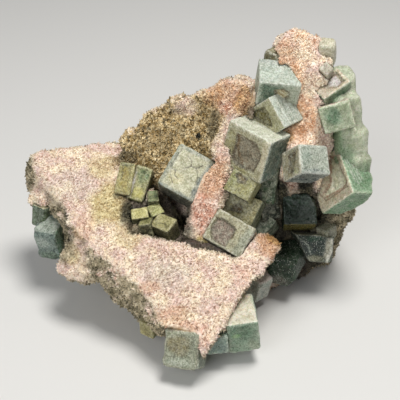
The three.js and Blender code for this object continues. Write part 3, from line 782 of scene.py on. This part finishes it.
def frosted_looks(name, frost, rim, clear=0.0, glow=0.12, rim_width=1.3, rough=0.42, flecks=0.5):
    """Frosted fluorite: its stored body colour under a speckled frost, with pale worn rims."""
    look = Looks(name)
    body = look.stored("body", "Color")
    mottle = look.between(look.cloud(1.4, 4), 0.35, 0.65)
    colour = look.mixed(look.math("MULTIPLY", mottle, 0.4), body, frost)
    veil = look.between(look.cloud(3.5), 0.42, 0.62)
    colour = look.mixed(look.math("MULTIPLY", veil, 0.3), colour, look.mixed(1.0, colour, body, "MULTIPLY"))
    edge = look.stored("edge_mm")
    ragged = look.math("ADD", edge, look.between(look.cloud(0.9), 0.3, 0.7, -0.7, 0.7))
    near_edge = look.between(ragged, 0.0, rim_width, 1, 0)
    colour = look.mixed(look.math("MULTIPLY", near_edge, 0.8), colour, look.mixed(0.6, body, rim))
    colour = look.mixed(0.45, colour, look.between(look.grains(0.42, "Color"), 0.2, 0.75), "SOFT_LIGHT")
    dots = look.between(look.grains(0.55), 0.14, 0.28, 1, 0)
    chance = look.between(look.cloud(1.8), 0.4, 0.56)
    dots = look.math("MULTIPLY", look.math("MULTIPLY", dots, chance), flecks)
    colour = look.mixed(dots, colour, look.mixed(0.5, frost, (250, 250, 240)))
    dark = look.between(look.grains(1.1), 0.08, 0.2, 1, 0)
    colour = look.mixed(look.math("MULTIPLY", dark, 0.22), colour, look.mixed(1.0, body, body, "MULTIPLY"))
    look.join(colour, look.surface.inputs["Base Color"])
    rougher = look.math("ADD", look.between(look.cloud(0.8), 0.35, 0.65, rough - 0.16, rough + 0.14),
                       look.math("MULTIPLY", look.stored("pocket"), 0.2))
    look.join(rougher, look.surface.inputs["Roughness"])
    fine = look.relief(look.cloud(0.4, 4, 0.65), 0.16, 0.8)
    etched = look.relief(look.grains(0.8), 0.12, 0.6, fine)
    look.join(etched, look.surface.inputs["Normal"])
    look.surface.inputs["IOR"].default_value = fluorite_ior
    look.surface.inputs["Subsurface Weight"].default_value = glow
    look.surface.inputs["Subsurface Radius"].default_value = (0.6, 1.0, 0.7)
    look.surface.inputs["Subsurface Scale"].default_value = 2.5 * MM
    if clear > 0:
        frosted = look.math("MAXIMUM", near_edge, look.stored("pocket"))
        frosted = look.math("MAXIMUM", frosted, look.stored("broken"))
        look.join(look.math("MULTIPLY", look.between(frosted, 0, 1, 1, 0.1), clear),
                  look.surface.inputs["Transmission Weight"])
    return look.material


dark_line = (70, 68, 56)
grow("flat_cube_crystal", "flat_cube", [
    fluorite(
        crystals["flat_cube"][0], (186, 184, 156),
        # The lower face's dark colour is painted shade.
        faces={"+x": (128, 136, 132), "-z": (52, 56, 50)}, seed=2, cell=0.3, worn=1.0,
        seams=[
            ("-y", [(-1.5, 0.6), (0.2, 2.6), (2.2, 2.9), (3.6, 4.7)], 0.26, 0.35, dark_line),
            ("-y", [(2.2, 2.9), (4.2, 0.6), (4.6, -1.6)], 0.24, 0.3, dark_line),
            ("-y", [(0.2, 2.6), (-0.6, 4.4), (-2.4, 5.2)], 0.2, 0.25, dark_line),
            ("-y", [(-4.8, -1.2), (-3.6, -1.0), (-3.2, -2.8), (-1.4, -3.4)], 0.24, 0.3, dark_line),
            ("-y", [(-6.2, 0.4), (-4.4, -3.4), (-2.2, -5.6)], 0.18, 0.18, dark_line),
            ("-y", [(-5.4, 6.6), (-5.8, 2), (-5.2, -2)], 0.18, 0.16, dark_line),
        ],
        washes=[
            ("-y", (-6.2, 0), (1.2, 9), (134, 140, 128), 0.7),
            ("-y", (6, 0), (1.6, 9), (98, 108, 108), 0.9),
            ("-y", (0, -7.8), (8, 1.0), (118, 126, 122), 0.6),
            ("-y", (-1, 7.6), (8, 1.2), (140, 146, 138), 0.7),
            ("-y", (-2, -3.5), (3.4, 2.4), (206, 196, 152), 0.6),
        ],
    ),
], frosted_looks("pale frosted fluorite", (206, 202, 178), (158, 168, 164), rim_width=0.7))


# The tower cubes are a chain of fluorite crystals grown into each other, down the left of the tower.
# The larger upper ones are pale, the large ones below have etched pockets with brown floors, and the
# small ones beside those are dark green.
# Their paler tops are partly painted light, their darker right and lower faces are painted shade, and the
# small dark green ones are darkened further with painted shade.
chain = crystals["tower_cubes"]
grow("tower_chain", "tower_cubes", [
    fluorite(chain[0], (128, 120, 88), seed=3, worn=1.2),
    fluorite(
        chain[1], (172, 184, 166), faces={"+z": (182, 192, 180), "+x": (198, 202, 184)},
        cuts=[(194, 198, 180)], cell=0.38, seed=4,
        washes=[
            ("-y", (-3, 1), (4.6, 4.4), (92, 118, 98), 0.9),
            ("-y", (0.5, -1.5), (2.2, 2.4), (196, 180, 148), 0.6),
            ("-y", (5, 0), (2.6, 6), (182, 186, 166), 0.8),
            ("+z", (-1, 4.6), (6, 1.4), (150, 160, 156), 0.7),
        ],
        pockets=[("-y", [(-1.4, 2.4), (1.2, 3.0), (3.2, 1.8), (3.6, -0.6), (1.6, -2.2), (-0.6, -1.2)], 0.6,
                  (180, 166, 128), (104, 98, 72))],
        seams=[
            ("-y", [(0.6, 1.6), (2.6, 0.2)], 0.35, -0.5, (240, 240, 214)),
            ("-y", [(2.2, 1.8), (3.4, 0.4)], 0.3, -0.4, (232, 236, 206)),
            ("-y", [(0.2, -0.2), (1.6, -0.8)], 0.3, -0.4, (226, 228, 196)),
        ],
    ),
    fluorite(
        chain[2], (188, 196, 184), faces={"-y": (176, 172, 134), "+z": (206, 208, 192)},
        cell=0.38, seed=6,
        washes=[("+x", (2.5, 3.5), (2.4, 2.6), (232, 230, 220), 0.7)],
        pockets=[("-y", [(-4.6, 4.6), (1.4, 3.8), (1.8, 1.4), (0.6, -3), (-2.2, -1), (-5, 2.6)], 0.8,
                  (112, 104, 60), (84, 78, 48))],
        seams=[
            ("+x", [(-2.2, 5.5), (-1.6, -5.5)], 0.3, -0.2, (222, 226, 214)),
            ("+x", [(-0.4, 4), (0.2, -5.5)], 0.22, 0.2, (112, 128, 118)),
            ("+x", [(1.2, 4.5), (1.6, -5.5)], 0.26, -0.18, (214, 218, 206)),
            ("+x", [(3.4, 3.5), (3.0, -5.5)], 0.24, -0.15, (206, 212, 200)),
        ],
    ),
    fluorite(
        chain[3], (174, 170, 138), cell=0.36, seed=8, worn=0.8,
        # Painted light and shade: a paler top, and a darker right face and lower face.
        faces={"+z": (214, 216, 198), "+x": (88, 108, 98), "-z": (64, 70, 56)},
        cuts=[(128, 120, 92)],
        pockets=[("-y", [(-4.6, 4.9), (-1.9, 5), (3.3, 4.9), (6.1, 2.2), (5.8, -1.6), (5, -5), (2.1, -5.5),
                         (-2.3, -5.9), (-4.7, -4), (-4.4, 0.6)], 0.9, (134, 124, 102), (78, 66, 46))],
        washes=[
            ("-y", (3.4, 1), (2.4, 3.4), (150, 136, 134), 0.8),
            ("-y", (-6.5, 0), (2.4, 8), (150, 144, 98), 0.8),
            ("-y", (0, -7), (7, 1.6), (152, 146, 98), 0.8),
            ("-y", (7.4, 2), (1.4, 8), (214, 204, 176), 0.7),
            ("+z", (0, 4), (8, 1.6), (142, 152, 150), 0.7),
        ],
        seams=[("-y", [(-3.9, 4.6), (-3.4, 0.4), (-1.9, -2.7), (0.2, -4.8)], 0.8, -0.4, (112, 90, 56)),
               ("+x", [(-3.5, 7), (-3.5, -7)], 0.3, 0.2, (56, 72, 66)),
               ("+x", [(-1, 7), (-0.6, -6)], 0.26, -0.16, (112, 130, 120)),
               ("+x", [(2, 6), (2, -7)], 0.3, 0.2, (54, 66, 60))],
    ),
    fluorite(
        # Its lower face is painted dark as shade.
        chain[4], (146, 142, 94), seed=9, faces={"-z": (60, 58, 40)}, rim=0.7,
        pockets=[("-y", [(-3.4, 2.4), (-2.4, 3.2), (-0.6, 3.2), (1.2, 3.1), (0.8, 0.9), (-1.3, 0.4)], 0.4,
                  (104, 88, 52), (70, 60, 40))],
        washes=[("-y", (-3.4, 1), (2, 3), (150, 152, 96), 0.7)],
    ),
    fluorite(
        # Its right face is painted darker as shade.
        chain[5], (134, 128, 88), seed=10, cell=0.44, faces={"+x": (84, 92, 62)}, rim=0.6,
        pockets=[("-y", [(-1.9, -2), (-1.7, -0.2), (-0.2, 0.9), (1.4, 0.8), (2, -1.1), (1, -2)], 0.8,
                  (82, 66, 36), (64, 56, 38))],
    ),
    # The next three cubes are partly their own dark green and partly painted shade, for the deep shade they
    # sit in.
    fluorite(chain[6], (52, 70, 48), seed=11, rim=0.3),
    fluorite(chain[7], (36, 44, 32), seed=12, rim=0.2),
    fluorite(chain[8], (60, 74, 54), seed=13, rim=0.5),
    fluorite(
        chain[9], (160, 154, 122), cell=0.36, seed=14, worn=0.75,
        # Its right face and lower face are painted dark as shade.
        faces={"+x": (80, 84, 64), "-z": (58, 62, 48)},
        pockets=[("-y", [(-6.1, 2.4), (-4, 3.2), (1.2, 2.3), (1.5, -1.1), (1.3, -4.6), (-4.3, -4.8),
                         (-6.3, -1.4)], 0.9, (128, 112, 98), (88, 80, 58))],
        washes=[
            ("-y", (-1.5, -3), (3, 2), (132, 124, 80), 0.8),
            ("-y", (5.5, 0), (2, 7), (140, 146, 128), 0.7),
        ],
    ),
], frosted_looks("grey-green frosted fluorite", (176, 176, 156), (200, 200, 186)))


# The edge cube stands out from the tower's front on a stub of rock. Its left face is beige with a small
# etched pocket, and its front is frosted with bright specks.
grow("edge_cube_crystal", "edge_cube", [
    fluorite(
        crystals["edge_cube"][0], (166, 172, 158), cell=0.36, seed=15, worn=0.8,
        # Its lower face is painted darker, and so is a band along the foot of its front: painted shade.
        faces={"-x": (160, 152, 124), "-z": (72, 80, 78)},
        washes=[
            ("-y", (0, -4.4), (6, 1.6), (110, 120, 116), 0.8),
            ("-y", (-3, 1), (2.4, 4), (136, 150, 136), 0.6),
            ("-x", (-2.4, -3.4), (2, 1.4), (170, 168, 120), 0.7),
        ],
        pockets=[("-x", [(1.2, 2.7), (-3, 3.1), (-2.9, 0.9), (-1.4, -0.9), (-0.8, -3.2), (2, -2.5)], 0.8,
                  (116, 108, 78), (80, 70, 52))],
    ),
], frosted_looks("speckled frosted fluorite", (180, 184, 170), (210, 210, 198), flecks=0.9))


# The right cubes grew into each other up the tower's right side. They are the clearest of the specimen:
# light green and a little see-through where the frost is thin, with a framed beige face at the lower left.
column = crystals["right_cubes"]
white_line = (232, 236, 222)
spine_cell = 0.5
spine_rounds = 17


def overgrown(cubes, cell, deeper_shaded_colour, paler_lit_colour):
    """Cubes so overgrown that they read as one lobed mass: one skin round them all, worn smooth."""
    points, faces = evened(mesh_of("cubes", *joined(cubes), True), cell)
    points = smoothed(points, faces, spine_rounds, np.full(len(points), 0.5))
    normals = point_normals(points, faces)
    height = 0.35 + 0.25 * ripple(points, 6, 51) + 0.25 * ripple(points, 1.7, 52)
    points += normals * height[:, None]
    # Paler where the skin faces right, as painted light from the right, and also paler higher up and at
    # random.
    pale = 0.4 + 0.3 * normals[:, 0] + 0.3 * ripple(points, 5, 53) + 0.012 * (points[:, 2] - 50)
    share = ease(0.3, 0.8, pale)[:, None]
    colour = shade(deeper_shaded_colour) * (1 - share) + shade(paler_lit_colour) * share
    colour[:, :3] *= (1 + 0.15 * ripple(points, 1.3, 54))[:, None]
    plain = np.zeros(len(points))
    edge = 1.4 + 1.0 * ripple(points, 2.4, 55)
    layers = {"colour": colour, "edge_mm": edge, "pocket": plain, "broken": plain}
    return {"points": points, "faces": faces, **layers}


under_growth = [fluorite(column[k], white_line, cuts=[white_line], cell=0.6, worn=2.4, seed=16 + k)
                for k in (1, 2, 3, 4)]
# The darker green stands partly for painted shade and the paler for painted light, on top of the mass's own
# tones.
spine = overgrown(under_growth, spine_cell, (148, 176, 138), (214, 218, 192))
grow("right_column", "right_cubes", [
    spine,
    fluorite(
        column[0], (160, 170, 146), cell=0.36, seed=16, worn=0.8,
        faces={"-x": (208, 194, 168), "-y": (106, 148, 106), "+z": (150, 184, 146)},
        cuts=[(176, 186, 162), (112, 134, 106)],
        pockets=[("-x", [(7.4, 3.4), (6.2, 6), (0.1, 6.3), (-4, 6.9), (-4.9, 5.8), (-4.6, -3.6), (-2.6, -5),
                         (-0.4, -0.4)], 0.8, (208, 206, 180), (150, 104, 80))],
        seams=[
            ("+z", [(-4.7, 4), (-3.2, -4.3)], 0.38, -0.3, white_line),
            ("+z", [(-3.6, 4), (-1.8, -5)], 0.3, -0.25, white_line),
            ("+z", [(-2.4, 3.8), (-0.3, -4.2)], 0.4, -0.3, white_line),
            ("+z", [(-0.8, 2.4), (0.8, -3)], 0.3, -0.2, white_line),
            ("-x", [(-5.6, 7), (-5.4, -4.6), (-2.6, -6)], 0.3, 0.2, (150, 118, 92)),
        ],
    ),
    fluorite(
        column[5], (186, 196, 164), cell=0.38, seed=19, worn=0.8,
        faces={"+x": (184, 190, 160), "+z": (206, 190, 172)},
        washes=[("-y", (-1, 0.5), (3.2, 3.2), (112, 146, 114), 0.9)],
    ),
    fluorite(
        column[6], (160, 176, 148), seed=20, worn=0.7, cell=0.38, faces={"+z": (226, 208, 182)},
        pockets=[("+z", [(3.6, 2.3), (3.6, -2.1), (1, -2.6), (-1.8, -0.8), (-0.4, 2)], 0.5,
                  (200, 192, 190), (140, 118, 92))],
        seams=[("+z", [(3.9, 2.6), (3.9, -2.3)], 0.4, 0.3, (110, 100, 78))],
        washes=[("-y", (0.5, 0), (4.6, 1.6), (112, 146, 118), 0.8)],
    ),
    fluorite(column[7], (196, 184, 166), seed=22, worn=1),
], frosted_looks("light green fluorite", (178, 186, 162), (212, 210, 190), clear=0.3, glow=0.25))


# The crown cube is a small pale crystal at the right of the tower's top, half sunk in the crust, with
# its edges worn round.
grow("crown_crystal", "crown_cube", [
    fluorite(crystals["crown_cube"][0], (198, 194, 170), seed=23, worn=1.5),
], frosted_looks("pale crown fluorite", (208, 202, 180), (214, 210, 192)))


# The dark cube sits in the deep shade below the edge cube. It is nearly black green and smoother than
# the others, with an olive lower face.
# Its near-black green is partly its own colour and partly painted shade.
grow("dark_cube_crystal", "dark_cube", [
    fluorite(
        crystals["dark_cube"][0], (30, 42, 32), faces={"-z": (100, 92, 48)}, cell=0.42, seed=24,
        rim=0.3, washes=[("-y", (-1, 3.5), (4.5, 3), (52, 68, 56), 0.8)],
        cuts=[(44, 52, 42)],
    ),
], frosted_looks("dark green fluorite", (38, 48, 38), (96, 96, 74), rough=0.3, rim_width=0.6, flecks=0.06))


# The low cubes stand low on the right, dark green, speckled and grown into each other, with a small pale
# one above them. The upper dark one is white along its right rim, and the lower one is streaked.
# The two dark green cubes are partly their own dark green and partly painted shade, for the shade they sit
# in.
grow("low_group", "low_cubes", [
    fluorite(crystals["low_cubes"][0], (150, 146, 124), seed=25, worn=1),
    fluorite(
        crystals["low_cubes"][1], (44, 52, 50), seed=26, cell=0.42, faces={"+z": (130, 128, 108)},
        cuts=[(40, 46, 38)],
        washes=[
            ("-y", (0, 3.6), (4.5, 1.2), (36, 62, 46), 0.8),
            ("-y", (2, -3.8), (5, 1.4), (140, 138, 116), 0.8),
            ("-y", (6.6, 0), (1.4, 5), (182, 178, 160), 0.9),
        ],
        seams=[("-y", [(7.6, 4), (7.9, 0), (6.6, -4.4)], 0.7, -0.3, (226, 222, 208)),
               ("-y", [(-3, 2.6), (-0.6, 1.2), (0.2, -1.4)], 0.26, -0.2, (170, 176, 164))],
    ),
    fluorite(
        crystals["low_cubes"][2], (34, 56, 38), seed=27, cell=0.4, worn=2.2, rim=0.2,
        cuts=[(110, 106, 96)],
        washes=[("-y", (-1.5, -3.6), (4, 2.6), (128, 122, 112), 0.8)],
        seams=[
            ("-y", [(-2.6, 1), (-0.5, -5.6)], 0.3, -0.15, (110, 118, 108)),
            ("-y", [(-0.2, 1.6), (2.2, -4.6)], 0.25, -0.12, (104, 110, 100)),
        ],
    ),
], frosted_looks("speckled dark fluorite", (86, 92, 78), (132, 134, 120), flecks=1.5, rim_width=0.8))


# The low corner cube sits in the corner between the front lobe and the low cubes. It is grey-green with
# pinkish specks.
grow("low_corner_crystal", "low_corner_cube", [
    fluorite(
        crystals["low_corner_cube"][0], (158, 166, 156), faces={"+z": (206, 192, 184)}, seed=28,
        worn=1.2,
    ),
], frosted_looks("pinkish frosted fluorite", (196, 182, 168), (206, 200, 188), flecks=0.6))


# The front right cubes stand at the foot of the front lobe: a tall one, cream on top and green in front,
# and a smaller one beside it, half under the rock.
grow("front_right_group", "front_right_cubes", [
    fluorite(
        crystals["front_right_cubes"][0], (136, 160, 136), faces={"+z": (244, 236, 214)},
        cell=0.42, seed=29, worn=0.9,
        washes=[
            ("+z", (5, 4), (1, 4), (176, 190, 160), 0.7),
            ("-y", (0, 3.4), (4.4, 3.2), (86, 122, 92), 0.9),
            ("-y", (-2.4, 1.4), (1.6, 1), (158, 196, 140), 0.9),
            ("-y", (3.4, -4), (2.6, 3), (176, 184, 160), 0.8),
        ],
    ),
    fluorite(crystals["front_right_cubes"][1], (132, 152, 142), seed=30),
], frosted_looks("green fluorite", (170, 178, 156), (190, 194, 176), clear=0.2, glow=0.2))


# The front cube stands at the foot of the front lobe's point, frosted olive-grey with a pale top and
# edges worn quite round.
grow("front_cube_crystal", "front_cube", [
    fluorite(
        crystals["front_cube"][0], (136, 140, 118), cell=0.36, seed=31,
        worn=2.2, faces={"+z": (206, 198, 172), "+x": (138, 146, 132)},
        washes=[
            ("-y", (-1, 1.5), (4.5, 3.5), (122, 108, 66), 0.7),
            ("-y", (0, -4.2), (6, 1.6), (164, 170, 152), 0.7),
        ],
    ),
], frosted_looks("olive-grey frosted fluorite", (164, 164, 144), (180, 178, 160)))


# The side crystal is a small olive crystal low on the front lobe's left side. It is plain, with no
# etched pockets and no cracks.
grow("side_crystal_cube", "side_crystal", [
    fluorite(crystals["side_crystal"][0], (150, 142, 96), seed=32),
], frosted_looks("olive side fluorite", (168, 160, 120), (186, 180, 146)))


# The left cubes hang on the left lobe's outer side, blue-green and much worn. The upper one is small,
# dark green and pale on top.
grow("left_group", "left_cubes", [
    fluorite(
        crystals["left_cubes"][0], (76, 90, 62), faces={"+z": (188, 182, 152)}, seed=33, worn=1,
        rim=0.6,
    ),
    fluorite(
        crystals["left_cubes"][1], (104, 120, 112), worn=3.2, seed=34, cell=0.4, rim=0.6,
        faces={"+x": (84, 108, 86), "+z": (150, 158, 146)},
        washes=[
            ("-y", (-1, 2), (3.5, 3), (160, 168, 158), 0.7),
            ("-y", (1, -4.6), (6, 3.2), (66, 88, 66), 0.9),
        ],
    ),
], frosted_looks("blue-green fluorite", (150, 158, 148), (168, 174, 160), glow=0.2))


# The hollow pair are two olive crystals side by side at the top of the hollow, leaning on the lobe, with
# yellow, green and grey patches and a few fine cracks.
grow("hollow_pair_crystals", "hollow_pair", [
    fluorite(
        # Its lower face is painted dark as shade.
        crystals["hollow_pair"][0], (150, 140, 84), faces={"-z": (70, 66, 44)}, seed=35, cell=0.38,
        washes=[
            ("-y", (-0.2, 1), (1.2, 5), (150, 132, 58), 0.8),
            ("-y", (0, 5), (3, 1.6), (94, 96, 64), 0.9),
            ("-y", (2.2, 1), (0.7, 5), (170, 164, 118), 0.7),
        ],
        seams=[("-y", [(-1.5, 4.6), (-1.1, -1)], 0.3, 0.3, (86, 78, 42)),
               ("-y", [(1.2, 5), (1.4, 0.5)], 0.26, 0.25, (96, 88, 50))],
    ),
    fluorite(
        crystals["hollow_pair"][1], (138, 136, 90), seed=36, cell=0.38,
        faces={"+x": (84, 88, 62), "-x": (160, 162, 152)},
        washes=[
            ("+z", (0.5, 3.2), (2.6, 3.2), (96, 116, 80), 0.9),
            ("+z", (0.4, -3.6), (2.6, 2), (186, 178, 96), 0.7),
            ("+z", (-2.4, -1), (0.9, 5), (178, 174, 172), 1.0),
        ],
        seams=[("+z", [(0.6, 5.4), (0.2, 1.4), (1.2, -1)], 0.3, 0.3, (74, 84, 52)),
               ("+z", [(-1.5, -2), (-1.3, -5.6)], 0.26, 0.25, (104, 100, 56))],
    ),
], frosted_looks("olive frosted fluorite", (180, 174, 134), (190, 184, 150), rim_width=0.8))


# The hollow cubes are a cluster of small olive crystals on the hollow's floor, each with its own tones:
# its body, its top painted pale as painted light, and its front painted dark as painted shade.
hollow_lit_and_shaded_tones = [
    ((70, 80, 54), (104, 116, 78), (52, 60, 42)),
    ((140, 138, 92), (196, 190, 130), (70, 68, 46)),
    ((120, 122, 80), (172, 172, 112), (70, 68, 46)),
    ((92, 92, 66), (140, 138, 92), (60, 60, 42)),
    ((84, 82, 58), (160, 154, 108), (66, 62, 42)),
]
hollow_crack = ("+z", [(-1.6, -1.2), (0.4, -0.2), (2.2, -1.4)], 0.35, 0.35, (70, 66, 44))
grow("hollow_cluster", "hollow_cubes", [
    # Each top gets its painted light and each front its painted shade.
    fluorite(crystal, body, seed=37 + k, faces={"+z": top, "-y": front},
             seams=[hollow_crack] if k == 4 else [])
    for k, (crystal, (body, top, front)) in enumerate(zip(crystals["hollow_cubes"], hollow_lit_and_shaded_tones))
], frosted_looks("dark olive fluorite", (140, 136, 100), (162, 156, 122), rim_width=0.7))


# The back cubes grow on the right rear of the tower, green and frosted like their neighbours in front.
# The photo doesn't show that side, so they are a guess.
grow("back_group", "back_cubes", [
    fluorite(crystals["back_cubes"][0], (122, 138, 112), seed=42),
    fluorite(crystals["back_cubes"][1], (136, 148, 122), seed=43),
], frosted_looks("rear green fluorite", (160, 168, 146), (196, 196, 178), glow=0.2))


# The floor is a plain pale sheet, and the light is soft, from above and a little to the right, with a
# weaker fill from the front left. The camera's place was chosen to match the photograph.
def floor_sheet(half):
    mesh = bpy.data.meshes.new("floor")
    corners = [(-half, -half, 0), (half, -half, 0), (half, half, 0), (-half, half, 0)]
    mesh.from_pydata(corners, [], [(0, 1, 2, 3)])
    sheet = in_scene("floor", mesh)
    look = Looks("pale floor")
    look.join((222, 221, 218), look.surface.inputs["Base Color"])
    look.surface.inputs["Roughness"].default_value = 0.8
    mesh.materials.append(look.material)
    return sheet


def soft_light(name, place, toward, width, power, colour):
    lamp = bpy.data.lights.new(name, "AREA")
    lamp.shape = "DISK"
    lamp.size = width
    lamp.energy = power
    lamp.color = colour
    light = in_scene(name, lamp)
    light.location = place
    light.rotation_euler = (Vector(toward) - Vector(place)).to_track_quat("-Z", "Y").to_euler()


floor_sheet(4.0)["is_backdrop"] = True
heart = Vector(((np.array([0.0, 0.0, 40.0]) + shift) * MM).tolist())
soft_light("key", heart + Vector((0.13, -0.04, 0.66)), heart, 0.28, 4.0, (1.0, 0.985, 0.96))
soft_light("fill", heart + Vector((-0.34, -0.60, 0.38)), heart, 0.5, 2.5, (0.97, 0.985, 1.0))
world = bpy.data.worlds.new("studio air")
world.use_nodes = True
world.node_tree.nodes["Background"].inputs["Color"].default_value = (0.95, 0.97, 1.0, 1.0)
world.node_tree.nodes["Background"].inputs["Strength"].default_value = 0.18
bpy.context.scene.world = world

view_height = np.radians(33)
view_distance = 0.306
camera_data = bpy.data.cameras.new("photograph")
camera_data.lens = 80
camera_data.sensor_width = 36
camera_data.clip_start = 0.01
camera_data.clip_end = 20
camera = in_scene("photograph", camera_data)
back_off = Vector((0, -np.cos(view_height), np.sin(view_height)))
camera.location = heart + back_off * view_distance
camera.rotation_euler = (-back_off).to_track_quat("-Z", "Y").to_euler()
bpy.context.scene.camera = camera
bpy.context.scene.view_settings.view_transform = "Standard"

low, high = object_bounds()
